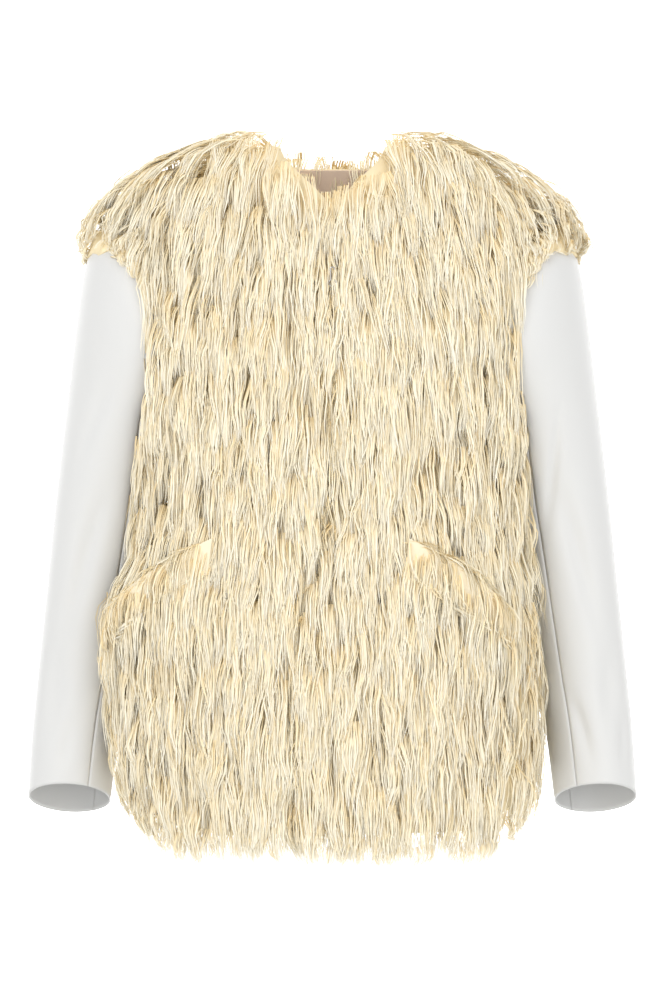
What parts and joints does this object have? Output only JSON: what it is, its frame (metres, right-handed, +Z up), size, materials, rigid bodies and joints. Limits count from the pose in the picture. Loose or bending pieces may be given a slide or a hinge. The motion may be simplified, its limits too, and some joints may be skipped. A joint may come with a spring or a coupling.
{
  "type": "faux fur jacket",
  "caption": "Hip-length long-pile faux fur jacket with satin sleeves, slanted pockets and a hook closure, hollow as worn.",
  "frame": {"origin": "midway between the neck ends of the two shoulder seams, where the wearer's shoulders hold the jacket", "axes": "+Z up, +X to the wearer's left, -Y the front"},
  "size_m": [0.608, 0.3282, 0.73],
  "materials": {
    "fur": "long ivory pile in wavy locks",
    "satin": "soft white satin",
    "lining": "tan satin",
    "band": "plain pinkish satin",
    "metal": "bright wire"
  },
  "bodies": {
    "root": {"front_right": "fur", "front_left": "fur", "back": "fur", "pocket_welt_right": "fur", "pocket_welt_left": "fur", "sleeve_top_right": "satin", "sleeve_under_right": "satin", "sleeve_top_left": "satin", "sleeve_under_left": "satin", "back_neck_lining": "lining", "neck_band": "band", "hook": "metal", "eye": "metal"}
  },
  "joints": []
}
